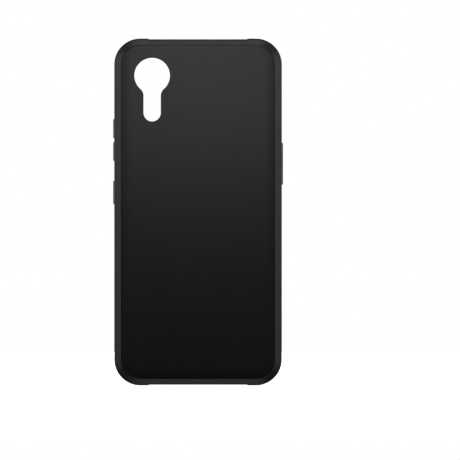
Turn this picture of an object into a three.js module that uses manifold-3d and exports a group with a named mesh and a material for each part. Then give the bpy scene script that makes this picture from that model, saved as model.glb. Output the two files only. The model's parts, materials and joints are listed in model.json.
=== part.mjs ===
// A protective case for a rugged phone: a hard back panel bonded into a soft bumper frame, with four key
// covers that sink into windows of the frame's side walls, each on a thin elastic web.
// Millimetres. X runs across the case, Y from the back panel (-) to the screen (+), and Z up towards the
// camera end. The origin is under the middle of the case, level with the bottom corner bumps it stands on.
import * as THREE from "three";
import { mergeVertices } from "three/addons/utils/BufferGeometryUtils.js";
import Module from "manifold-3d";

const wasm = await Module();
wasm.setup();

// ---------------------------------------------------------------- driving dimensions

// The phone that the case holds
const phoneWidth = 79.3; // without its side keys
const phoneLength = 169;
const phoneThickness = 10.2;
const phoneCornerRadius = 10.8;
const phoneKeyHeight = 0.4; // how far its side keys stand out
const bayClearance = 0.15; // between the phone and the walls round it

// Bumper frame
const sideWall = 2.05;
const endWall = 1.55;
const outerCornerRadius = 13;
const lipHeight = 1.2; // the raised lip in front of the screen
const lipOverhang = 1.4; // how far the lip reaches over the phone's front
const lipRound = 0.9;
const cornerBumpHeight = 0.35;
const cornerBumpReach = 16.6; // from the side of the case to the start of the bump's ramp
const cornerBumpRamp = 1.2;
const rimBevelWidth = 2.85;
const rimBevelDepth = 1.5;
const rimSide = 3.45; // visible rim beside the panel, on the long sides
const rimEnd = 2.9; // the same at the two ends

// Back panel
const panelThickness = 1.6;
const panelFaceThickness = 0.8; // the part of it that the rim frames
const panelCornerRadius = 10;
const panelRollWidth = 4.6; // its edge falls away a little beside the rim
const panelRollDepth = 0.44;
const bondGap = 0.05;

// Keyhole cut-out for the camera and its flash
const cameraFromSide = 18.97; // circle's centre from the case's side
const cameraFromTop = 18.2; // circle's centre from the plain top end
const cameraRadius = 8.87;
const keyholeSlotWidth = 8.6;
const keyholeSlotDrop = 18.55; // circle's centre to the slot's end-arc centre
const keyholeFillet = 4.5;
const keyholeChamfer = 0.4;

// Key covers
const coverWidth = 4;
const coverCornerRadius = 1.6;
const coverProud = 0.6;
const coverRound = 0.45;
const coverGap = 0.3; // the groove between a cover and its window
const coverPlay = 0.1; // between a cover's inner face and the phone's key
const flangeThickness = 0.3; // the cover's flange, bonded to the inside of the web
const flangeMargin = 0.25;
const webThickness = 0.3; // the elastic web, bonded round the inside of the window
const webMargin = 0.45;

const volumeNotchHeight = 120.4; // middle of the notch between the volume covers, above the phone's foot
const volumeNotchWidth = 1.1; // at the wall's face; the notch opens out at 45 degrees from there
const volumeUpLength = 10.1;
const volumeDownLength = 9.9;
const sideKeyHeight = 94.3;
const sideKeyLength = 12.1;
const programmableKeyHeight = 108.55;
const programmableKeyLength = 21;

// Openings in the ends, by their middle across the case
const chargingPort = { across: 0, width: 13, height: 7 };
const loudspeakerSlot = { across: -15.5, width: 11, height: 2.4 };
const lowerMicrophone = { across: 11.5, width: 2, height: 2 };
const headphoneJack = { across: 14, width: 7.6, height: 7.6 };
const upperMicrophone = { across: -2, width: 2, height: 2 };
const portChamfer = 0.35;
const roundEnd = 0.98; // an opening's corner radius, as a share of half its smaller side

// Cushion grooves inside the four corners
const groovesPerCorner = 4;
const grooveRadius = 1.1;
const grooveDepth = 0.7;
const grooveEndWall = 0.7;

// ---------------------------------------------------------------- derived sizes and levels

const bayHalfWidth = phoneWidth / 2 + bayClearance;
const bayRadius = phoneCornerRadius + bayClearance;
const caseHalfWidth = bayHalfWidth + sideWall;
const plainBottom = cornerBumpHeight;
const bayBottom = plainBottom + endWall;
const phoneBottom = bayBottom + bayClearance;
const bayTop = phoneBottom + phoneLength + bayClearance;
const plainTop = bayTop + endWall;
const caseTop = plainTop + cornerBumpHeight;

const caseThickness = panelThickness + phoneThickness + lipHeight;
const backY = -caseThickness / 2;
const panelStepY = backY + panelFaceThickness;
const floorY = backY + panelThickness;
const lipY = floorY + phoneThickness;
const frontY = caseThickness / 2;
const keyY = (floorY + lipY) / 2;

// Behind a window, from the phone's key outwards: the cover's flange, the web, the wall round the window
const flangeInner = phoneWidth / 2 + phoneKeyHeight + coverPlay;
const flangeOuter = flangeInner + flangeThickness;
const webInner = flangeOuter + bondGap;
const webOuter = webInner + webThickness;
const pocketFloor = webOuter + bondGap;

// Each cover: the side it is on, its middle above the phone's lower end, and its length
const covers = [
  {
    name: "volume_up",
    side: -1,
    middle: volumeNotchHeight + (volumeNotchWidth + volumeUpLength) / 2,
    length: volumeUpLength,
  },
  {
    name: "volume_down",
    side: -1,
    middle: volumeNotchHeight - (volumeNotchWidth + volumeDownLength) / 2,
    length: volumeDownLength,
  },
  { name: "side_key", side: -1, middle: sideKeyHeight, length: sideKeyLength },
  { name: "programmable_key", side: 1, middle: programmableKeyHeight, length: programmableKeyLength },
];

const past = 1; // how far a cutter runs past the face it cuts
const grooveSides = 16; // facets round a cushion groove's cylinder
const roundSteps = 4; // steps in a rounded edge

// Segments in each half of an outline's arc
const coarse = 3; // key covers and their windows
const medium = 6; // corners and end openings
const fine = 24; // keyhole

// ---------------------------------------------------------------- solids

// A closed geometry as a manifold-3d solid.
function solid(geometry) {
  geometry.deleteAttribute("normal");
  geometry.deleteAttribute("uv");
  const merged = mergeVertices(geometry);
  return new wasm.Manifold(
    new wasm.Mesh({
      numProp: 3,
      vertProperties: merged.attributes.position.array,
      triVerts: new Uint32Array(merged.index.array),
    }),
  );
}

// An outline extruded from 0 to depth. Its full size is at mid depth, and both rims are cut back by
// edge.inset over edge.drop: one step makes a chamfer, more steps a round.
function prism(outline, depth, curveSegments, edge) {
  if (!edge) {
    return new THREE.ExtrudeGeometry(outline, { depth, curveSegments, bevelEnabled: false });
  }
  const geometry = new THREE.ExtrudeGeometry(outline, {
    depth: depth - 2 * edge.drop,
    curveSegments,
    bevelThickness: edge.drop,
    bevelSize: edge.inset,
    bevelOffset: -edge.inset,
    bevelSegments: edge.steps,
  });
  return geometry.translate(0, 0, edge.drop);
}

// A cutter for a chamfer round an opening: the outline at 0, opening out at 45 degrees beyond it.
function flare(outline, chamfer, curveSegments) {
  const rise = chamfer + past;
  const geometry = new THREE.ExtrudeGeometry(outline, {
    depth: past,
    curveSegments,
    bevelThickness: rise,
    bevelSize: rise,
    bevelSegments: 1,
  });
  return geometry.translate(0, 0, rise);
}

// Turns a shape drawn in X and Y with its depth along Z, so that it stands in X and Z, its depth towards -Y.
function stand(geometry, y) {
  return geometry.rotateX(Math.PI / 2).translate(0, y, 0);
}

// An outline in X and Z, made solid between two levels of Y.
function plate(outline, lowY, highY, edge, curveSegments = medium) {
  return solid(stand(prism(outline, highY - lowY, curveSegments, edge), highY));
}

// A rounded block that points out of one side wall over a key, between two distances from the middle of the
// case. Its outline is the key cover's own, drawn out by margin.
function sideBlock({ side, middle, length }, margin, inner, outer, edge) {
  const halfWidth = coverWidth / 2 + margin;
  const halfLength = length / 2 + margin;
  const z = phoneBottom + middle;
  const outline = roundedRectangle(
    side * keyY - halfWidth,
    side * keyY + halfWidth,
    z - halfLength,
    z + halfLength,
    coverCornerRadius + margin,
  );
  const geometry = prism(outline, outer - inner, coarse, edge);
  geometry.translate(0, 0, inner);
  const thickness = new THREE.Vector3(0, side, 0);
  const up = new THREE.Vector3(0, 0, 1);
  const outwards = new THREE.Vector3(side, 0, 0);
  geometry.applyMatrix4(new THREE.Matrix4().makeBasis(thickness, up, outwards));
  return solid(geometry);
}

// ---------------------------------------------------------------- outlines

function roundedRectangle(left, right, bottom, top, radius) {
  const outline = new THREE.Shape();
  outline.absarc(right - radius, bottom + radius, radius, -Math.PI / 2, 0);
  outline.absarc(right - radius, top - radius, radius, 0, Math.PI / 2);
  outline.absarc(left + radius, top - radius, radius, Math.PI / 2, Math.PI);
  outline.absarc(left + radius, bottom + radius, radius, Math.PI, 1.5 * Math.PI);
  outline.closePath();
  return outline;
}

// The outside of the frame: straight sides, and ends that step out to a bump at each corner.
function frameOutline() {
  const radius = outerCornerRadius;
  const arcX = caseHalfWidth - radius;
  const rampX = caseHalfWidth - cornerBumpReach;
  const plainX = rampX - cornerBumpRamp;
  const outline = new THREE.Shape();
  outline.moveTo(plainX, plainBottom);
  outline.lineTo(rampX, 0);
  outline.absarc(arcX, radius, radius, -Math.PI / 2, 0);
  outline.absarc(arcX, caseTop - radius, radius, 0, Math.PI / 2);
  outline.lineTo(rampX, caseTop);
  outline.lineTo(plainX, plainTop);
  outline.lineTo(-plainX, plainTop);
  outline.lineTo(-rampX, caseTop);
  outline.absarc(-arcX, caseTop - radius, radius, Math.PI / 2, Math.PI);
  outline.absarc(-arcX, radius, radius, Math.PI, 1.5 * Math.PI);
  outline.lineTo(-rampX, 0);
  outline.lineTo(-plainX, plainBottom);
  outline.closePath();
  return outline;
}

// The inside of the walls, drawn in by inset.
function bayOutline(inset = 0) {
  const half = bayHalfWidth - inset;
  return roundedRectangle(-half, half, bayBottom + inset, bayTop - inset, bayRadius - inset);
}

// The line where the rim meets the panel's face, drawn in by inset.
function seamOutline(inset = 0) {
  const half = caseHalfWidth - rimSide - inset;
  const bottom = plainBottom + rimEnd + inset;
  const top = plainTop - rimEnd - inset;
  return roundedRectangle(-half, half, bottom, top, panelCornerRadius - inset);
}

// A circle with a round-ended slot below it, joined by a fillet on each side.
function keyholeOutline() {
  const x = cameraFromSide - caseHalfWidth;
  const z = plainTop - cameraFromTop;
  const halfSlot = keyholeSlotWidth / 2;
  const endZ = z - keyholeSlotDrop;
  const filletX = halfSlot + keyholeFillet;
  const filletDrop = Math.sqrt((cameraRadius + keyholeFillet) ** 2 - filletX ** 2);
  const filletZ = z - filletDrop;
  const meeting = Math.atan2(filletDrop, filletX);
  const outline = new THREE.Shape();
  outline.absarc(x, endZ, halfSlot, Math.PI, 2 * Math.PI);
  outline.absarc(x + filletX, filletZ, keyholeFillet, Math.PI, Math.PI - meeting, true);
  outline.absarc(x, z, cameraRadius, -meeting, Math.PI + meeting);
  outline.absarc(x - filletX, filletZ, keyholeFillet, meeting, 0, true);
  outline.closePath();
  return outline;
}

// ---------------------------------------------------------------- back panel

function backPanel() {
  const roll = { inset: panelRollWidth, drop: panelRollDepth, steps: roundSteps };
  const face = plate(seamOutline(bondGap), backY, panelStepY + panelRollDepth, roll);
  const flange = plate(bayOutline(bondGap), panelStepY, floorY);
  const keyhole = plate(keyholeOutline(), backY - past, floorY + past, undefined, fine);
  const chamfer = solid(stand(flare(keyholeOutline(), keyholeChamfer, fine), backY + keyholeChamfer));
  return face.add(flange).subtract(keyhole).subtract(chamfer);
}

// ---------------------------------------------------------------- bumper frame

function frameOutside() {
  const outline = frameOutline();
  const bevelled = plate(outline, backY, frontY + 2 * rimBevelDepth, {
    inset: rimBevelWidth,
    drop: rimBevelDepth,
    steps: 1,
  });
  const rounded = plate(outline, backY - lipRound - past, frontY, {
    inset: lipRound,
    drop: lipRound,
    steps: roundSteps,
  });
  return bevelled.intersect(rounded);
}

// Cutters for a round-ended opening through the bottom or the top wall, chamfered outside.
function endOpening({ across, width, height }, atTop) {
  const radius = (roundEnd * Math.min(width, height)) / 2;
  const outline = roundedRectangle(-width / 2, width / 2, -height / 2, height / 2, radius);
  const through = prism(outline, endWall + 2 * past, medium).translate(0, 0, -endWall - past);
  const chamfer = flare(outline, portChamfer, medium).translate(0, 0, -portChamfer);
  return [through, chamfer].map((cutter) => {
    if (!atTop) {
      cutter.rotateX(Math.PI);
    }
    return solid(cutter.translate(across, keyY, atTop ? plainTop : plainBottom));
  });
}

function cornerGrooves() {
  const reach = bayRadius - grooveRadius + grooveDepth;
  const height = phoneThickness - 2 * grooveEndWall;
  const grooves = [];
  for (const sideX of [-1, 1]) {
    for (const sideZ of [-1, 1]) {
      const centreX = sideX * (bayHalfWidth - bayRadius);
      const centreZ = sideZ > 0 ? bayTop - bayRadius : bayBottom + bayRadius;
      for (let i = 0; i < groovesPerCorner; i += 1) {
        const angle = ((i + 0.5) / groovesPerCorner) * (Math.PI / 2);
        const groove = new THREE.CylinderGeometry(grooveRadius, grooveRadius, height, grooveSides);
        groove.translate(
          centreX + sideX * reach * Math.cos(angle),
          keyY,
          centreZ + sideZ * reach * Math.sin(angle),
        );
        grooves.push(solid(groove));
      }
    }
  }
  return grooves;
}

function coverOpenings(cover) {
  return [
    sideBlock(cover, coverGap, pocketFloor - past, caseHalfWidth + past),
    sideBlock(cover, webMargin, bayHalfWidth - past, pocketFloor),
  ];
}

function bumperFrame() {
  const cutters = [
    plate(bayOutline(), panelStepY - bondGap, lipY),
    plate(bayOutline(lipOverhang), lipY - past, frontY + past),
    plate(seamOutline(), backY - past, panelStepY),
    ...endOpening(chargingPort, false),
    ...endOpening(loudspeakerSlot, false),
    ...endOpening(lowerMicrophone, false),
    ...endOpening(headphoneJack, true),
    ...endOpening(upperMicrophone, true),
    ...cornerGrooves(),
    ...covers.flatMap(coverOpenings),
  ];
  return cutters.reduce((frame, cutter) => frame.subtract(cutter), frameOutside());
}

// ---------------------------------------------------------------- key covers

// The V between the two volume covers, down to the wall's face.
function volumeNotch() {
  const rise = coverProud + past;
  const half = volumeNotchWidth / 2;
  const z = phoneBottom + volumeNotchHeight;
  const outline = new THREE.Shape();
  outline.moveTo(-caseHalfWidth, z - half);
  outline.lineTo(-caseHalfWidth, z + half);
  outline.lineTo(-caseHalfWidth - rise, z + half + rise);
  outline.lineTo(-caseHalfWidth - rise, z - half - rise);
  outline.closePath();
  return plate(outline, keyY - coverWidth, keyY + coverWidth);
}

// A cap that stands proud of the wall, with a flange behind the window.
function keyCover(cover) {
  const round = { inset: coverRound, drop: coverRound, steps: roundSteps };
  const cap = sideBlock(cover, 0, flangeOuter - coverRound, caseHalfWidth + coverProud, round);
  const flange = sideBlock(cover, flangeMargin, flangeInner, flangeOuter);
  const core = sideBlock(cover, 0, flangeInner, flangeOuter + coverRound);
  return cap.add(core).add(flange).subtract(volumeNotch());
}

// The thin ring that joins a cover to the wall round its window, and gives when the cover is pressed.
function coverWeb(cover) {
  const ring = sideBlock(cover, webMargin - bondGap, webInner, webOuter);
  return ring.subtract(sideBlock(cover, bondGap, webInner - past, webOuter + past));
}

// ---------------------------------------------------------------- assembly

const hardPlastic = { color: 0x17191a, roughness: 0.55, metalness: 0 };
const softPlastic = { color: 0x202221, roughness: 0.7, metalness: 0 };

// A solid as a named mesh with flat facets.
function part(name, body, look) {
  const mesh = body.getMesh();
  const indexed = new THREE.BufferGeometry()
    .setAttribute("position", new THREE.BufferAttribute(new Float32Array(mesh.vertProperties), 3))
    .setIndex(new THREE.BufferAttribute(mesh.triVerts, 1));
  const geometry = indexed.toNonIndexed();
  geometry.computeVertexNormals();
  const result = new THREE.Mesh(geometry, new THREE.MeshStandardMaterial(look));
  result.name = name;
  return result;
}

const phoneCase = new THREE.Group();
phoneCase.name = "phone_case";
phoneCase.add(part("back_panel", backPanel(), hardPlastic));
phoneCase.add(part("bumper_frame", bumperFrame(), softPlastic));
for (const cover of covers) {
  phoneCase.add(part(`${cover.name}_cover`, keyCover(cover), softPlastic));
  phoneCase.add(part(`${cover.name}_web`, coverWeb(cover), softPlastic));
}

export default phoneCase;
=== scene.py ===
"""The look of the phone case: a hard back panel in a soft bumper frame, with four key covers.

Lengths are in metres. X runs across the case, Y from its back face to the screen lip, and Z up
to the camera end.
"""
import json
import math

import bmesh
import bpy
import numpy as np
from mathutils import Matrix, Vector


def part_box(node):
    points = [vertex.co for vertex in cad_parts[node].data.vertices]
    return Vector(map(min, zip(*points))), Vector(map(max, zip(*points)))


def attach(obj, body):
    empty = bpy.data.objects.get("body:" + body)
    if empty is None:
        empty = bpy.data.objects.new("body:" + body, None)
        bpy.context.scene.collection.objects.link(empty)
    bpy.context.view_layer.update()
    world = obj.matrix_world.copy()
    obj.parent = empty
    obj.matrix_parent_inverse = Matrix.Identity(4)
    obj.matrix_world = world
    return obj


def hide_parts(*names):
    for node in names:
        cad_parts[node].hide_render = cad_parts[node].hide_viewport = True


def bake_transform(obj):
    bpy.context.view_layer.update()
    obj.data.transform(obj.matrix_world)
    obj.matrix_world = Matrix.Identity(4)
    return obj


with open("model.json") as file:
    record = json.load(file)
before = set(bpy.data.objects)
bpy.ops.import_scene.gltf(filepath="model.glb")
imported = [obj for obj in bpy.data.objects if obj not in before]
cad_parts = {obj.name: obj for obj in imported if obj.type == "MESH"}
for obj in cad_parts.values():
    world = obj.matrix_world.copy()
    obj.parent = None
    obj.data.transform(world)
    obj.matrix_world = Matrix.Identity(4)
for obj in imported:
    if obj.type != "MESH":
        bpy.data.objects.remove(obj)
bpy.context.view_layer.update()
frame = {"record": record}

MM = 0.001
KEYS = ("volume_up", "volume_down", "side_key", "programmable_key")

# ---------------------------------------------------------------- sizes from the frame

frame_low, frame_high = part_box("bumper_frame")
panel_low, panel_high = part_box("back_panel")
CASE_HALF = frame_high.x
BACK = frame_low.y
FRONT = frame_high.y
BOTTOM = frame_low.z
TOP = frame_high.z
FLOOR = panel_high.y

# ---------------------------------------------------------------- sizes that the boxes don't show

BOND = 0.05 * MM
BUMP = 0.35 * MM
BUMP_RAMP_START = 24.05 * MM
BUMP_RAMP_END = 25.25 * MM
LIP_HEIGHT = 1.2 * MM
LIP_OVERHANG = 1.4 * MM
PANEL_FACE = 0.8 * MM
OUTER_RADIUS = 13 * MM
BAY_RADIUS = 10.95 * MM
SEAM_RADIUS = 10 * MM
SEAM_SIDE = 3.45 * MM
SEAM_END = 2.9 * MM
BEVEL_SLOPE = math.radians(28)
BEVEL_ROUND = 1.6 * MM
CREST = 0.06 * MM
LIP_ROUND = 0.9 * MM
LIP_EDGE = 0.3 * MM
ROLL_WIDTH = 4.6 * MM
ROLL_DEPTH = 0.44 * MM
ROLL_POWER = 1.6

CAMERA_RADIUS = 8.87 * MM
SLOT_HALF = 4.3 * MM
SLOT_DROP = 18.55 * MM
KEYHOLE_FILLET = 4.5 * MM
KEYHOLE_ROUND = 0.35 * MM

BAY_HALF = panel_high.x + BOND
BAY_BOTTOM = panel_low.z - BOND
SIDE_WALL = CASE_HALF - BAY_HALF
END_WALL = BAY_BOTTOM - BUMP
LIP_Y = FRONT - LIP_HEIGHT
STEP_Y = BACK + PANEL_FACE
KEY_Y = (FLOOR + LIP_Y) / 2
MIDDLE_Z = (TOP + BOTTOM) / 2
PLAIN_HALF = (TOP - BOTTOM) / 2 - BUMP

# ---------------------------------------------------------------- mesh tools

SHARP_ABOVE = math.radians(35)
FLAT_FACE_WEIGHT = 90


def mesh_object(name, vertices, faces):
    mesh = bpy.data.meshes.new(name)
    mesh.from_pydata([tuple(v) for v in vertices], [], faces)
    mesh.validate()
    piece = bpy.data.objects.new(name, mesh)
    bpy.context.scene.collection.objects.link(piece)
    return piece


def skin(rings, closed=False):
    """Vertices and faces over a row of rings of equal length.

    The row is capped at both ends, or closed round on itself.
    """
    count = len(rings[0])
    vertices = [point for ring in rings for point in ring]
    faces = []
    pairs = len(rings) if closed else len(rings) - 1
    for r in range(pairs):
        here = r * count
        after = (r + 1) % len(rings) * count
        for i in range(count):
            j = (i + 1) % count
            faces.append((here + i, here + j, after + j, after + i))
    if not closed:
        faces.append(tuple(reversed(range(count))))
        faces.append(tuple(range(len(vertices) - count, len(vertices))))
    return vertices, faces


def point_outwards(piece):
    mesh = bmesh.new()
    mesh.from_mesh(piece.data)
    bmesh.ops.recalc_face_normals(mesh, faces=mesh.faces)
    mesh.to_mesh(piece.data)
    mesh.free()


def joined(name, skins):
    """One object from several closed skins."""
    vertices = []
    faces = []
    for part_vertices, part_faces in skins:
        shift = len(vertices)
        vertices += part_vertices
        faces += [tuple(i + shift for i in face) for face in part_faces]
    piece = mesh_object(name, vertices, faces)
    point_outwards(piece)
    return piece


def apply_modifiers(piece):
    graph = bpy.context.evaluated_depsgraph_get()
    mesh = bpy.data.meshes.new_from_object(piece.evaluated_get(graph))
    piece.modifiers.clear()
    piece.data = mesh


def cut(piece, cutter):
    boolean = piece.modifiers.new("cut", "BOOLEAN")
    boolean.operation = "DIFFERENCE"
    boolean.solver = "EXACT"
    boolean.object = cutter
    apply_modifiers(piece)
    bpy.data.objects.remove(cutter)


def smooth(piece):
    """Smooth shading that keeps flat faces flat and leaves real corners sharp."""
    mesh = piece.data
    mesh.polygons.foreach_set("use_smooth", [True] * len(mesh.polygons))
    mesh.set_sharp_from_angle(angle=SHARP_ABOVE)
    weighted = piece.modifiers.new("flat faces stay flat", "WEIGHTED_NORMAL")
    weighted.keep_sharp = True
    weighted.weight = FLAT_FACE_WEIGHT
    apply_modifiers(piece)


# ---------------------------------------------------------------- outlines

QUARTER = math.pi / 2
ARC_STEPS = 20
SIDE_STEPS = 48
PLAIN_END_STEPS = 12
RAMP_STEPS = 8


def eased(share):
    """A share from 0 to 1 that starts and ends gently."""
    return share * share * (3 - 2 * share)


def end_positions(half):
    """Places along an end wall from -half to half, close together on the corner bumps' ramps."""
    ramps = np.linspace(BUMP_RAMP_START, BUMP_RAMP_END, RAMP_STEPS + 1)
    plain = np.linspace(0, BUMP_RAMP_START, PLAIN_END_STEPS + 1)[1:-1]
    right = np.concatenate([plain, ramps, [half]])
    return np.concatenate([-right[::-1], [0], right])


def case_ring(side_inset, end_inset, radius, y, bump=0.0):
    """A ring round the case, drawn in from the plain outside.

    The corner bumps stand out by bump, a share of their full height.
    """
    half = CASE_HALF - side_inset
    half_length = PLAIN_HALF - end_inset
    arc_x = half - radius
    arc_z = half_length - radius
    quarter = np.linspace(0, QUARTER, ARC_STEPS + 1)
    ends = end_positions(arc_x)[1:-1]
    sides = np.linspace(-arc_z, arc_z, SIDE_STEPS + 1)[1:-1]
    lift = BUMP * bump

    def ramp(x):
        share = (np.abs(x) - BUMP_RAMP_START) / (BUMP_RAMP_END - BUMP_RAMP_START)
        return lift * eased(np.clip(share, 0, 1))

    points = []
    for turn in range(4):
        angles = quarter + turn * QUARTER
        sign_x = 1 if turn in (0, 3) else -1
        sign_z = 1 if turn in (0, 1) else -1
        for angle in angles:
            x = sign_x * arc_x + radius * math.cos(angle)
            z = sign_z * (arc_z + lift) + radius * math.sin(angle)
            points.append((x, z))
        if turn == 0:
            points += [(x, half_length + ramp(x)) for x in ends[::-1]]
        elif turn == 1:
            points += [(-half, z) for z in sides[::-1]]
        elif turn == 2:
            points += [(x, -half_length - ramp(x)) for x in ends]
        else:
            points += [(half, z) for z in sides]
    return [Vector((x, y, MIDDLE_Z + z)) for x, z in points]


# Insets from the plain outside at the sides and at the ends, and the corner radius there
INWARDS = np.array((1, 1, -1))
OUTSIDE = np.array((0, 0, OUTER_RADIUS))
SEAM = np.array((SEAM_SIDE, SEAM_END, SEAM_RADIUS))
BAY = np.array((SIDE_WALL, END_WALL, BAY_RADIUS))
LIP = BAY + LIP_OVERHANG * INWARDS


def between(start, end, share):
    return start + (end - start) * share


def rounded_ring(half_a, low_b, high_b, radius, steps):
    """Points of a rounded rectangle in two dimensions, centred on 0 in the first."""
    points = []
    for turn in range(4):
        sign = 1 if turn in (0, 3) else -1
        b = high_b - radius if turn in (0, 1) else low_b + radius
        for k in range(steps + 1):
            angle = (turn + k / steps) * QUARTER
            a = sign * (half_a - radius)
            points.append((a + radius * math.cos(angle), b + radius * math.sin(angle)))
    return points


def flare_profile(radius, steps=5):
    """(depth below the face, growth) pairs of a rounded edge that opens out towards the face."""
    angles = [k / steps * QUARTER for k in range(steps + 1)]
    return [(radius * (1 - math.sin(a)), radius * (1 - math.cos(a))) for a in angles]


# ---------------------------------------------------------------- bumper frame

BEVEL_STEPS = 8
WALL_STEPS = 10
LIP_STEPS = 8
LIP_FRONT_STEPS = 3
LIP_EDGE_STEPS = 5
BAY_STEPS = 6
# Rings close to a corner, which keep the shading of the faces beside it flat
CREST_SHARE = 0.3
UNDERCUT = 0.12 * MM
UNDERSIDE_SHARE = 0.9


def frame_rings():
    """Rings over the frame's section: the rim, the outside, the lip and the bay's wall."""
    rings = []

    def add(station, y, bump=0.0):
        rings.append(case_ring(*station, y, bump))

    wall_start = add_rim_band(add)
    add_wall_and_lip(add, wall_start)
    add_bay_wall(add)
    return rings


def add_rim_band(add):
    """The band beside the panel: a straight bevel, then a round down to the side wall.

    Gives back the Y where the side wall starts.
    """
    slope = math.tan(BEVEL_SLOPE)
    crest = CREST / SEAM_SIDE
    round_start = 1 - BEVEL_ROUND * (1 - math.sin(BEVEL_SLOPE)) / SEAM_SIDE

    def bevel_y(share):
        return BACK + (share - crest) * SEAM_SIDE * slope

    add(SEAM, STEP_Y - BOND)
    add(SEAM, BACK + CREST)
    add(between(SEAM, OUTSIDE, CREST_SHARE * crest), BACK + CREST_SHARE * CREST)
    for k in range(BEVEL_STEPS + 1):
        share = crest + (round_start - crest) * k / BEVEL_STEPS
        add(between(SEAM, OUTSIDE, share), bevel_y(share), share)
    wall_start = bevel_y(round_start) + BEVEL_ROUND * math.cos(BEVEL_SLOPE)
    for k in range(1, BEVEL_STEPS + 1):
        angle = BEVEL_SLOPE + (QUARTER - BEVEL_SLOPE) * k / BEVEL_STEPS
        share = 1 - BEVEL_ROUND * (1 - math.sin(angle)) / SEAM_SIDE
        add(between(SEAM, OUTSIDE, share), wall_start - BEVEL_ROUND * math.cos(angle), share)
    return wall_start


def add_wall_and_lip(add, wall_start):
    """The side wall, then the lip's round, front and inner edge."""
    lip_start = FRONT - LIP_ROUND
    for k in range(1, WALL_STEPS):
        add(OUTSIDE, wall_start + (lip_start - wall_start) * k / WALL_STEPS, 1)

    def add_inwards(depth, y):
        share = depth / LIP[0]
        add(between(OUTSIDE, LIP, share), y, 1 - share)

    for k in range(LIP_STEPS + 1):
        angle = k / LIP_STEPS * QUARTER
        add_inwards(LIP_ROUND * (1 - math.cos(angle)), lip_start + LIP_ROUND * math.sin(angle))
    edge_start = LIP[0] - LIP_EDGE
    for k in range(1, LIP_FRONT_STEPS):
        add_inwards(LIP_ROUND + (edge_start - LIP_ROUND) * k / LIP_FRONT_STEPS, FRONT)
    for k in range(LIP_EDGE_STEPS + 1):
        angle = k / LIP_EDGE_STEPS * QUARTER
        y = FRONT - LIP_EDGE * (1 - math.cos(angle))
        add_inwards(edge_start + LIP_EDGE * math.sin(angle), y)


def add_bay_wall(add):
    """The lip's underside, and the bay's wall down to the underside of the rim."""
    bay_end = STEP_Y - BOND
    add(LIP, LIP_Y + UNDERCUT)
    add(between(LIP, BAY, UNDERCUT / LIP_OVERHANG), LIP_Y)
    add(between(LIP, BAY, UNDERSIDE_SHARE), LIP_Y)
    add(BAY, LIP_Y - UNDERCUT)
    for k in range(1, BAY_STEPS):
        add(BAY, LIP_Y + (bay_end - LIP_Y) * k / BAY_STEPS)
    add(BAY, bay_end)


# ---------------------------------------------------------------- places of the keys

COVER_ARC_STEPS = 6
COVER_RADIUS = 1.6 * MM
COVER_ROUND = 0.45 * MM
FLANGE_MARGIN = 0.25 * MM
WEB_MARGIN = 0.45 * MM
COVER_GAP = 0.3 * MM
WINDOW_ROUND = 0.22 * MM
SKIN = 0.06 * MM
PAST = 1 * MM


def side_ring(side, half_y, low, high, radius, u):
    """A rounded rectangle that faces out of one side wall, u from the middle of the case."""
    flat = rounded_ring(half_y, low, high, radius, COVER_ARC_STEPS)
    return [Vector((side * u, KEY_Y + y, z)) for y, z in flat]


class Key:
    """Places of one key cover and its web, read off the frame."""

    def __init__(self, name):
        self.name = name
        low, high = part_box(f"{name}_cover")
        web_low, web_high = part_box(f"{name}_web")
        self.side = 1 if low.x > 0 else -1
        self.inner, self.outer = sorted((abs(low.x), abs(high.x)))
        self.web_inner, self.web_outer = sorted((abs(web_low.x), abs(web_high.x)))
        self.low = low.z + FLANGE_MARGIN
        self.high = high.z - FLANGE_MARGIN
        self.half_width = (high.y - low.y) / 2 - FLANGE_MARGIN
        self.flange_outer = self.web_inner - BOND
        self.pocket = self.web_outer + BOND
        self.slope_low = name == "volume_up"
        self.slope_high = name == "volume_down"

    def ring(self, u, margin):
        """A ring round the window, its flange or its web, drawn out by a margin from the cap."""
        half_width = self.half_width + margin
        low, high = self.low - margin, self.high + margin
        return side_ring(self.side, half_width, low, high, COVER_RADIUS + margin, u)

    def cap_ring(self, u, inset):
        """A ring round the cap, drawn in by inset.

        The volume covers are cut back at 45 degrees where they face each other.
        """
        rise = max(0.0, u - CASE_HALF)
        low = self.low + max(inset, rise * self.slope_low)
        high = self.high - max(inset, rise * self.slope_high)
        return side_ring(self.side, self.half_width - inset, low, high, COVER_RADIUS - inset, u)


keys = [Key(name) for name in KEYS]

# ---------------------------------------------------------------- openings in the frame


def window_cutter(key):
    """Cuts the window that a cover sinks into, with the wider pocket behind it."""
    rings = [key.ring(BAY_HALF - PAST, WEB_MARGIN), key.ring(key.pocket, WEB_MARGIN)]
    rings += [key.ring(key.pocket, COVER_GAP)]
    for depth, grow in flare_profile(WINDOW_ROUND):
        rings.append(key.ring(CASE_HALF - depth, COVER_GAP + grow))
    rings += [key.ring(CASE_HALF + PAST, COVER_GAP + WINDOW_ROUND)]
    return skin(rings)


PORT_ROUND = 0.35 * MM
PORT_END_SHARE = 0.98
PORT_ARC_STEPS = 12
# Middle across the case, width, height, and the end that each opening is in
PORTS = (
    (0, 13 * MM, 7 * MM, -1),
    (-15.5 * MM, 11 * MM, 2.4 * MM, -1),
    (11.5 * MM, 2 * MM, 2 * MM, -1),
    (14 * MM, 7.6 * MM, 7.6 * MM, 1),
    (-2 * MM, 2 * MM, 2 * MM, 1),
)


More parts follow.
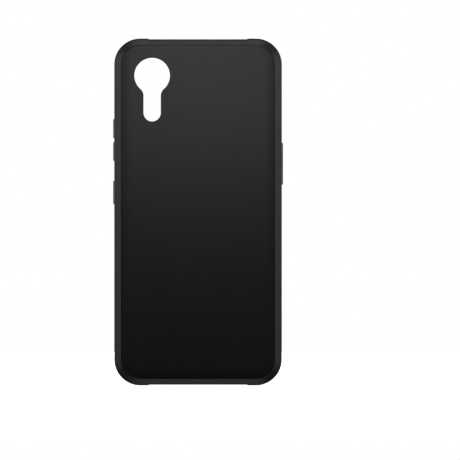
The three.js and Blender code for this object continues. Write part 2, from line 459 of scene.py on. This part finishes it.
def port_cutter(across, width, height, end):
    """Cuts an opening with round ends through one end wall."""

    def ring(depth, grow):
        half_b = width / 2 + grow
        half_a = height / 2 + grow
        corner = PORT_END_SHARE * min(half_a, half_b)
        flat = rounded_ring(half_a, -half_b, half_b, corner, PORT_ARC_STEPS)
        z = MIDDLE_Z + end * (PLAIN_HALF - depth)
        return [Vector((across + b, KEY_Y + a, z)) for a, b in flat]

    rings = [ring(END_WALL + PAST, 0)]
    rings += [ring(depth, grow) for depth, grow in flare_profile(PORT_ROUND)]
    rings += [ring(-PAST, PORT_ROUND)]
    return skin(rings)


GROOVES = 4
GROOVE_RADIUS = 1.1 * MM
GROOVE_DEPTH = 0.7 * MM
GROOVE_END = 0.7 * MM
GROOVE_SIDES = 32


def groove_cutters():
    """Round grooves across the bay's corners, which let the frame give in a fall."""
    reach = BAY_RADIUS - GROOVE_RADIUS + GROOVE_DEPTH
    arc_x = BAY_HALF - BAY_RADIUS
    arc_z = PLAIN_HALF - END_WALL - BAY_RADIUS
    low, high = FLOOR + GROOVE_END, LIP_Y - GROOVE_END
    cutters = []
    for sign_x in (-1, 1):
        for sign_z in (-1, 1):
            for k in range(GROOVES):
                angle = (k + 0.5) / GROOVES * QUARTER
                x = sign_x * (arc_x + reach * math.cos(angle))
                z = MIDDLE_Z + sign_z * (arc_z + reach * math.sin(angle))
                circle = [
                    (x + GROOVE_RADIUS * math.cos(t), z + GROOVE_RADIUS * math.sin(t))
                    for t in np.linspace(0, 2 * math.pi, GROOVE_SIDES, endpoint=False)
                ]
                cutters.append(skin([[Vector((a, y, b)) for a, b in circle] for y in (low, high)]))
    return cutters


def make_frame():
    vertices, faces = skin(frame_rings(), closed=True)
    piece = mesh_object("bumper", vertices, faces)
    point_outwards(piece)
    cutters = [window_cutter(key) for key in keys]
    cutters += [port_cutter(*port) for port in PORTS]
    cutters += groove_cutters()
    cut(piece, joined("frame_cutters", cutters))
    smooth(piece)
    return piece


# ---------------------------------------------------------------- back panel

SLOT_STEPS = 24
FILLET_STEPS = 12
CIRCLE_STEPS = 72
KEYHOLE_ROUND_STEPS = 8
INNER_ROUND = 0.2 * MM
FLANGE_EDGE = 0.15 * MM
ROLL_STEPS = 14


def arc(centre_x, centre_z, radius, start, end, steps):
    angles = np.linspace(start, end, steps + 1)
    return [(centre_x + radius * math.cos(a), centre_z + radius * math.sin(a)) for a in angles]


def opening(name):
    """The lowest and highest corners of one of the record's openings."""
    boxes = frame["record"]["physics"]["openings"]
    return next(box["box_m"] for box in boxes if box["name"] == name)


def keyhole_points(grow):
    """The slot's end, a fillet, the camera circle and the other fillet, drawn out by grow."""
    camera_low, camera_high = (Vector(corner) for corner in opening("camera_opening"))
    x = (camera_low.x + camera_high.x) / 2
    z = (camera_low.z + camera_high.z) / 2
    radius = CAMERA_RADIUS + grow
    half = SLOT_HALF + grow
    fillet = KEYHOLE_FILLET - grow
    fillet_x = half + fillet
    fillet_drop = math.sqrt((radius + fillet) ** 2 - fillet_x**2)
    meeting = math.atan2(fillet_drop, fillet_x)
    fillet_z = z - fillet_drop
    points = arc(x, z - SLOT_DROP, half, math.pi, 2 * math.pi, SLOT_STEPS)
    points += arc(x + fillet_x, fillet_z, fillet, math.pi, math.pi - meeting, FILLET_STEPS)
    points += arc(x, z, radius, -meeting, math.pi + meeting, CIRCLE_STEPS)[1:]
    points += arc(x - fillet_x, fillet_z, fillet, meeting, 0, FILLET_STEPS)[1:]
    return points


def keyhole_cutter():
    """Cuts the keyhole through the panel, with a round edge at both faces."""

    def ring(y, grow):
        return [Vector((x, y, z)) for x, z in keyhole_points(grow)]

    outer = reversed(flare_profile(KEYHOLE_ROUND, KEYHOLE_ROUND_STEPS))
    rings = [ring(BACK - PAST, KEYHOLE_ROUND)]
    rings += [ring(BACK + depth, grow) for depth, grow in outer]
    rings += [ring(FLOOR - depth, grow) for depth, grow in flare_profile(INNER_ROUND)]
    rings += [ring(FLOOR + PAST, INNER_ROUND)]
    return skin(rings)


def make_panel():
    """The flange behind the rim, the face inside it, and the face's fall beside the rim."""
    flange = BAY + BOND * INWARDS
    seam = SEAM + BOND * INWARDS
    rings = [
        case_ring(*(flange + FLANGE_EDGE * INWARDS), FLOOR),
        case_ring(*flange, FLOOR - FLANGE_EDGE),
        case_ring(*flange, STEP_Y),
        case_ring(*seam, STEP_Y),
    ]
    for k in range(ROLL_STEPS + 1):
        share = k / ROLL_STEPS
        y = BACK + ROLL_DEPTH * (1 - share) ** ROLL_POWER
        rings.append(case_ring(*(seam + ROLL_WIDTH * share * INWARDS), y))
    vertices, faces = skin(rings)
    piece = mesh_object("back_plate", vertices, faces)
    point_outwards(piece)
    cut(piece, joined("keyhole_cutter", [keyhole_cutter()]))
    smooth(piece)
    return piece


# ---------------------------------------------------------------- key covers and their webs

CROWN = 0.06 * MM
CROWN_SHARES = (0.4, 0.75, 1)
CROWN_REACH = 0.85
COVER_EDGE = 0.06 * MM
COVER_STEPS = 6
WEB_STEPS = 8


def make_cover(key):
    """A flange inside the window, and a cap with a round edge and a slight crown."""
    rings = [
        key.ring(key.inner, FLANGE_MARGIN - COVER_EDGE),
        key.ring(key.inner + COVER_EDGE, FLANGE_MARGIN),
        key.ring(key.flange_outer - COVER_EDGE, FLANGE_MARGIN),
        key.ring(key.flange_outer, FLANGE_MARGIN - COVER_EDGE),
        key.cap_ring(key.flange_outer, 0),
        key.cap_ring(CASE_HALF, 0),
    ]
    shoulder = key.outer - CROWN - COVER_ROUND
    for k in range(COVER_STEPS + 1):
        angle = k / COVER_STEPS * QUARTER
        u = shoulder + COVER_ROUND * math.sin(angle)
        rings.append(key.cap_ring(u, COVER_ROUND * (1 - math.cos(angle))))
    for share in CROWN_SHARES:
        inset = COVER_ROUND + (COVER_RADIUS - COVER_ROUND) * CROWN_REACH * share
        rings.append(key.cap_ring(key.outer - CROWN * (1 - share) ** 2, inset))
    vertices, faces = skin(rings)
    piece = mesh_object(f"{key.name}_cap", vertices, faces)
    point_outwards(piece)
    smooth(piece)
    return piece


def make_web(key):
    """A thin skin that slopes from the wall to the cover, so that it can follow the cover."""
    outside, inside = WEB_MARGIN - BOND, BOND
    slope = key.web_outer - key.web_inner - SKIN
    outer_face = []
    for k in range(WEB_STEPS + 1):
        share = k / WEB_STEPS
        level = key.web_outer - slope * eased(share)
        outer_face.append((level, outside + (inside - outside) * share))
    inner_face = [(u - SKIN, margin) for u, margin in reversed(outer_face)]
    rings = [key.ring(u, margin) for u, margin in outer_face + inner_face]
    vertices, faces = skin(rings, closed=True)
    piece = mesh_object(f"{key.name}_skin", vertices, faces)
    point_outwards(piece)
    smooth(piece)
    return piece


# ---------------------------------------------------------------- materials

CELL_SHARE = 0.6
CELL_HEIGHT = 0.5
PATCH_SIZE = 6.25 * MM
POLISH_SPREAD = 0.015
# Where a noise's values mostly lie, and where a convex edge's pointiness does
NOISE_RANGE = (0.3, 0.7)
POINTINESS_RANGE = (0.52, 0.62)
RUBBED_GAIN = 2.2
RUBBED_LIFT = 0.004
# Colours tuned with the lights to the photo's brightness
ELASTOMER = (0.0085, 0.009, 0.0087)
THIN_ELASTOMER = (0.006, 0.0063, 0.0061)
HARD_PLASTIC = (0.0012, 0.0013, 0.00125)


def add_node(tree, kind, **values):
    """A new node, with its inputs or its settings given by name."""
    made = tree.nodes.new(kind)
    for key, value in values.items():
        if key in made.inputs:
            made.inputs[key].default_value = value
        else:
            setattr(made, key, value)
    return made


def map_range(tree, from_low, from_high, to_low=0.0, to_high=1.0):
    """A node that maps one range of numbers to another, and holds what lies outside it."""
    made = tree.nodes.new("ShaderNodeMapRange")
    names = ("From Min", "From Max", "To Min", "To Max")
    for name, value in zip(names, (from_low, from_high, to_low, to_high)):
        made.inputs[name].default_value = value
    return made


def add_grain(tree, place, shader, size, depth):
    """Fine spark-eroded grain: cells under a finer noise."""
    noise = add_node(tree, "ShaderNodeTexNoise", Scale=1 / size, Detail=3.0, Roughness=0.6)
    cells = add_node(tree, "ShaderNodeTexVoronoi", Scale=CELL_SHARE / size)
    relief = add_node(tree, "ShaderNodeMath", operation="MULTIPLY_ADD")
    relief.inputs[1].default_value = CELL_HEIGHT
    bump = add_node(tree, "ShaderNodeBump", Strength=0.5, Distance=depth)
    tree.links.new(place.outputs["Object"], noise.inputs["Vector"])
    tree.links.new(place.outputs["Object"], cells.inputs["Vector"])
    tree.links.new(cells.outputs["Distance"], relief.inputs[0])
    tree.links.new(noise.outputs["Fac"], relief.inputs[2])
    tree.links.new(relief.outputs[0], bump.inputs["Height"])
    tree.links.new(bump.outputs["Normal"], shader.inputs["Normal"])


def add_polish(tree, place, shader, roughness):
    """Roughness that differs a little from patch to patch."""
    patches = add_node(
        tree, "ShaderNodeTexNoise", Scale=1 / PATCH_SIZE, Detail=4.0, Roughness=0.55
    )
    smoothest, roughest = roughness - POLISH_SPREAD, roughness + POLISH_SPREAD
    polish = map_range(tree, *NOISE_RANGE, smoothest, roughest)
    tree.links.new(place.outputs["Object"], patches.inputs["Vector"])
    tree.links.new(patches.outputs["Fac"], polish.inputs["Value"])
    tree.links.new(polish.outputs["Result"], shader.inputs["Roughness"])


def add_rubbed_edges(tree, shader, colour, wear):
    """The colour, rubbed lighter along convex edges."""
    edges = add_node(tree, "ShaderNodeNewGeometry")
    edge_range = map_range(tree, *POINTINESS_RANGE, 0.0, wear)
    tint = add_node(tree, "ShaderNodeMix", data_type="RGBA")
    tint.inputs[6].default_value = (*colour, 1)
    tint.inputs[7].default_value = (*[c * RUBBED_GAIN + RUBBED_LIFT for c in colour], 1)
    tree.links.new(edges.outputs["Pointiness"], edge_range.inputs["Value"])
    tree.links.new(edge_range.outputs["Result"], tint.inputs[0])
    tree.links.new(tint.outputs[2], shader.inputs["Base Color"])


def moulded_plastic(name, colour, roughness, grain_size, grain_depth, wear):
    """Matt moulded plastic with a grain, uneven polish and rubbed edges."""
    material = bpy.data.materials.new(name)
    material.use_nodes = True
    tree = material.node_tree
    tree.nodes.clear()
    output = add_node(tree, "ShaderNodeOutputMaterial")
    shader = add_node(tree, "ShaderNodeBsdfPrincipled", IOR=1.5)
    place = add_node(tree, "ShaderNodeTexCoord")
    add_grain(tree, place, shader, grain_size, grain_depth)
    add_polish(tree, place, shader, roughness)
    add_rubbed_edges(tree, shader, colour, wear)
    tree.links.new(shader.outputs["BSDF"], output.inputs["Surface"])
    return material


# ---------------------------------------------------------------- stage, lights and camera

GROUND_RADIUS = 0.7
GROUND_SIDES = 96
GROUND_CENTRE = 0.05 * GROUND_RADIUS
# The floor glows a little less under the case than beyond the further of these distances: a
# painted shadow round the case's foot
PAINTED_SHADOW_RANGE = (0.05, 0.25)
PAINTED_SHADOW_GLOW = 0.9
STUDIO_FILL = 0.02
PICTURE_WIDTH = 229.95 * MM
CASE_LEFT_BY = 15.95 * MM
CASE_UP_BY = 9.01 * MM
LENS = 400
SENSOR = 36
CLIP_END = 20
LIGHT_COLOUR = (0.97, 1.0, 0.985)
# Name, place, the point that it faces, width, height and power.
# A softbox beside the case has a twin on the right.
SOFTBOXES = (
    ("key", (0, -0.25, 0.175), (0, 0, 0.175), 0.2, 0.05, 0.0855),
    ("key_foot", (0, -0.25, 0.13), (0, 0, 0.13), 0.2, 0.04, 0.0195),
    ("upper", (0, -0.25, 0.295), (0, 0, 0.295), 0.16, 0.1, 0.12),
    ("top", (0, -0.25, 0.58), (0, 0, 0.17), 0.4, 0.25, 0.6),
    ("foot", (0, -0.2, -0.46), (0, 0, 0), 0.4, 0.16, 0.335),
    ("rim_high", (-0.45, -0.22, 0.27), (0, 0, 0.27), 0.1, 0.2, 0.26),
    ("rim", (-0.46, -0.26, 0.12), (0, 0, 0.12), 0.16, 0.5, 0.342),
    ("quarter", (-0.42, -0.42, 0), (0, 0, 0.05), 0.25, 0.4, 0.05),
    ("quarter_low", (-0.38, -0.38, -0.18), (0, 0, 0.05), 0.3, 0.3, 0.02),
    ("wall", (-0.46, 0.4, 0.09), (0, 0, 0.09), 0.3, 0.5, 1.0),
    ("inside", (0, 0.7, 0.3), (0, 0, 0.09), 0.5, 0.5, 3),
)


def area_light(name, place, target, width, height, power):
    data = bpy.data.lights.new(name, "AREA")
    data.shape = "RECTANGLE"
    data.size = width
    data.size_y = height
    data.energy = power
    data.color = LIGHT_COLOUR
    lamp = bpy.data.objects.new(name, data)
    lamp.location = place
    lamp.rotation_mode = "QUATERNION"
    lamp.rotation_quaternion = (Vector(target) - Vector(place)).to_track_quat("-Z", "Y")
    lamp.visible_camera = False
    bpy.context.scene.collection.objects.link(lamp)


def make_lights():
    for name, place, target, *size_and_power in SOFTBOXES:
        area_light(name, place, target, *size_and_power)
        x, y, z = place
        if x:
            area_light(f"{name}_right", (-x, y, z), target, *size_and_power)


def make_floor():
    """A pale disc that glows like a light table.

    Its glow is dimmed under the case as a painted shadow round the case's foot, beside the faint
    real shadow that its pale diffuse face catches.
    """
    turns = [k / GROUND_SIDES * 2 * math.pi for k in range(GROUND_SIDES)]
    inner, outer = (
        [Vector((radius * math.cos(t), KEY_Y + radius * math.sin(t), 0)) for t in turns]
        for radius in (GROUND_CENTRE, GROUND_RADIUS)
    )
    faces = [tuple(range(GROUND_SIDES))]
    for i in range(GROUND_SIDES):
        j = (i + 1) % GROUND_SIDES
        faces.append((i, j, GROUND_SIDES + j, GROUND_SIDES + i))
    floor = mesh_object("floor", inner + outer, faces)
    floor.data.materials.append(pale_floor())
    floor.visible_diffuse = False
    floor.visible_glossy = False
    floor.visible_shadow = False


def pale_floor():
    material = bpy.data.materials.new("pale_floor")
    material.use_nodes = True
    tree = material.node_tree
    shader = tree.nodes["Principled BSDF"]
    shader.inputs["Base Color"].default_value = (0.9, 0.9, 0.9, 1)
    shader.inputs["Roughness"].default_value = 0.9
    shader.inputs["Emission Color"].default_value = (1, 1, 1, 1)
    place = add_node(tree, "ShaderNodeTexCoord")
    distance = add_node(tree, "ShaderNodeVectorMath", operation="LENGTH")
    # Painted shadow: the glow is turned down near the middle, under the case
    painted_shadow_glow = map_range(tree, *PAINTED_SHADOW_RANGE, PAINTED_SHADOW_GLOW)
    tree.links.new(place.outputs["Object"], distance.inputs[0])
    tree.links.new(distance.outputs["Value"], painted_shadow_glow.inputs["Value"])
    tree.links.new(painted_shadow_glow.outputs["Result"], shader.inputs["Emission Strength"])
    return material


def make_world():
    """White to the camera, and close to dark for everything that it lights."""
    world = bpy.data.worlds.new("studio")
    bpy.context.scene.world = world
    world.use_nodes = True
    tree = world.node_tree
    background = tree.nodes["Background"]
    path = add_node(tree, "ShaderNodeLightPath")
    shade = map_range(tree, 0.0, 1.0, STUDIO_FILL)
    tree.links.new(path.outputs["Is Camera Ray"], shade.inputs["Value"])
    tree.links.new(shade.outputs["Result"], background.inputs["Strength"])
    background.inputs["Color"].default_value = (1, 1, 1, 1)


def make_camera():
    """Square on to the back face, far off with a long lens.

    The case stands a little left of the picture's middle and above it.
    """
    data = bpy.data.cameras.new("camera")
    data.lens = LENS
    data.sensor_width = SENSOR
    data.clip_end = CLIP_END
    camera = bpy.data.objects.new("camera", data)
    distance = PICTURE_WIDTH * LENS / SENSOR
    camera.location = (CASE_LEFT_BY, KEY_Y - distance, MIDDLE_Z - CASE_UP_BY)
    camera.rotation_euler = (QUARTER, 0, 0)
    bpy.context.scene.collection.objects.link(camera)
    bpy.context.scene.camera = camera


# ---------------------------------------------------------------- assembly

# Colour, roughness, size and depth of the grain, and wear of the edges
soft = moulded_plastic("soft_elastomer", ELASTOMER, 0.44, 0.22 * MM, 0.02 * MM, 0.5)
hard = moulded_plastic("hard_plastic", HARD_PLASTIC, 0.42, 0.18 * MM, 0.015 * MM, 0.4)
cover_soft = moulded_plastic("cover_elastomer", ELASTOMER, 0.44, 0.2 * MM, 0.018 * MM, 0.6)
web_soft = moulded_plastic("web_elastomer", THIN_ELASTOMER, 0.55, 0.2 * MM, 0.015 * MM, 0.2)


def finish_piece(piece, material, node):
    piece.data.materials.clear()
    piece.data.materials.append(material)
    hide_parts(node)
    return piece


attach(finish_piece(make_panel(), hard, "back_panel"), "case")
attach(finish_piece(make_frame(), soft, "bumper_frame"), "case")
for key in keys:
    cover = finish_piece(make_cover(key), cover_soft, f"{key.name}_cover")
    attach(cover, f"{key.name}_cover")
    # The web's placement is baked into its mesh, and it is attached to no body
    web = finish_piece(make_web(key), web_soft, f"{key.name}_web")
    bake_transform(web)

make_floor()
make_world()
make_camera()
make_lights()
bpy.context.scene.view_settings.view_transform = "Standard"
